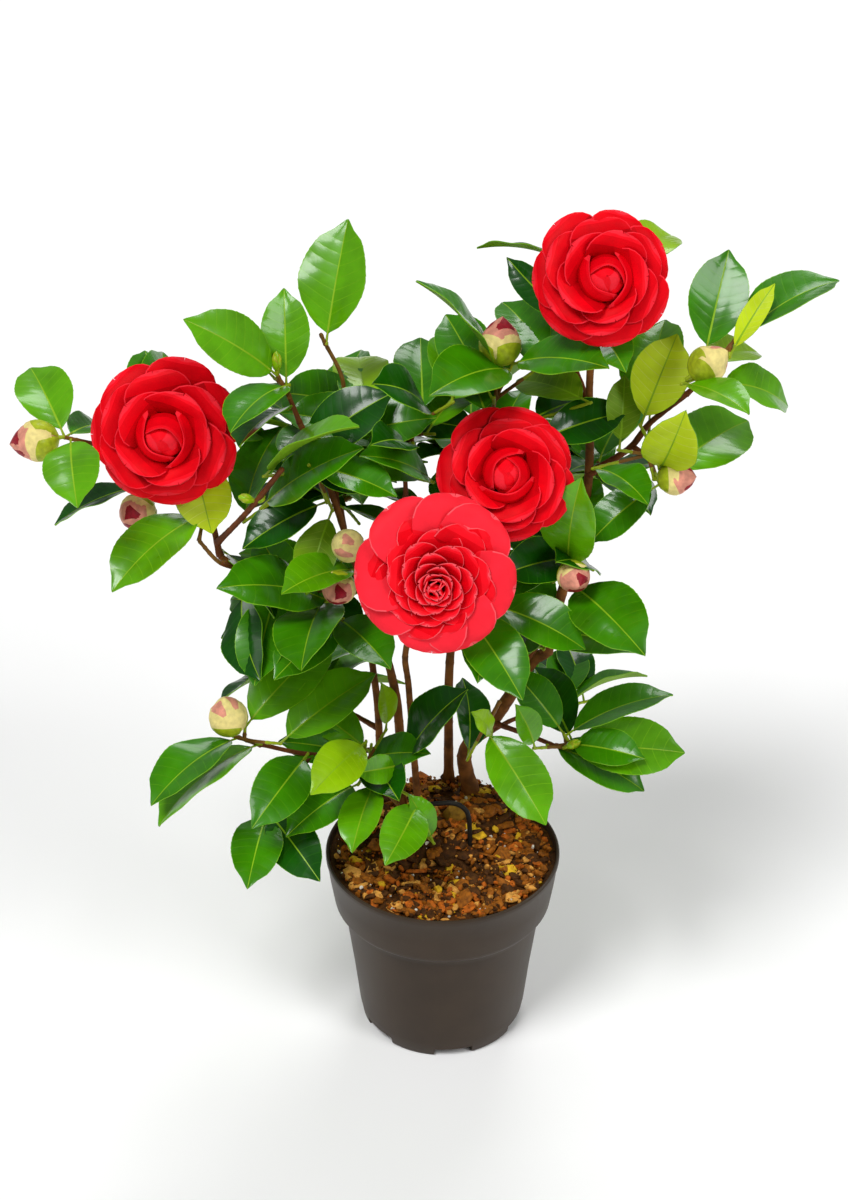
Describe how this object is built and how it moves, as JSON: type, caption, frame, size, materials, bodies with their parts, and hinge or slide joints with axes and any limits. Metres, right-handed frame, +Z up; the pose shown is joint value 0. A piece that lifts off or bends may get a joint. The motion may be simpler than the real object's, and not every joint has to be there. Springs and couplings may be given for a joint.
{
  "type": "potted camellia shrub",
  "caption": "Young evergreen camellia with bare lower stems, glossy oval leaves, full round double blooms and plump buds, growing in a round stepped plastic nursery pot.",
  "frame": {"origin": "centre of the pot's flat underside, on the ground", "axes": "+Z up; -Y is the side the front bloom faces; +X to the right seen from that side"},
  "size_m": [0.5404, 0.2819, 0.6403],
  "materials": {
    "pot_plastic": "fine matte, dark warm grey-brown",
    "bark_mulch": "coarse composted bark chips, dull",
    "bark": "thin finely cracked bark, reddish brown",
    "foliage": "leathery leaf, glossy upper face",
    "petals": "velvety petal"
  },
  "bodies": {
    "root": {"pot": "pot_plastic", "root_ball": "bark_mulch", "stem_left": "bark", "stem_twin": "bark", "stem_centre": "bark", "stem_right": "bark", "stem_back": "bark", "bough_upper_left": "bark", "bough_left": "bark", "bough_far_left": "bark", "pruned_twig": "bark", "bough_right": "bark", "bough_far_right": "bark", "bough_right_under": "bark", "bough_low_left": "bark", "bough_low_right": "bark", "bough_low_front": "bark", "bough_low_inner": "bark", "bough_back_high": "bark", "bough_back_left": "bark", "bough_back_centre": "bark", "bough_back_right": "bark", "bough_low_back_left": "bark", "bough_low_back_right": "bark", "bloom_front": "petals", "bloom_left": "petals", "bloom_top": "petals", "bloom_middle": "petals", "foliage_far_left": "foliage", "foliage_left": "foliage", "foliage_left_low": "foliage", "foliage_upper_left": "foliage", "foliage_inner_left": "foliage", "foliage_tall": "foliage", "foliage_centre_top": "foliage", "foliage_centre_right": "foliage", "foliage_top_right": "foliage", "foliage_far_right": "foliage", "foliage_right_mid": "foliage", "foliage_right_low": "foliage", "foliage_right_under": "foliage", "foliage_low_right": "foliage", "foliage_low_front": "foliage", "foliage_low_left": "foliage", "foliage_low_left_drop": "foliage", "foliage_low_inner": "foliage", "foliage_centre_left": "foliage", "foliage_centre_low": "foliage", "foliage_back_high": "foliage", "foliage_back_upper": "foliage", "foliage_back_left": "foliage", "foliage_back_centre": "foliage", "foliage_back_right": "foliage", "foliage_low_back_left": "foliage", "foliage_low_back_right": "foliage"}
  },
  "joints": []
}
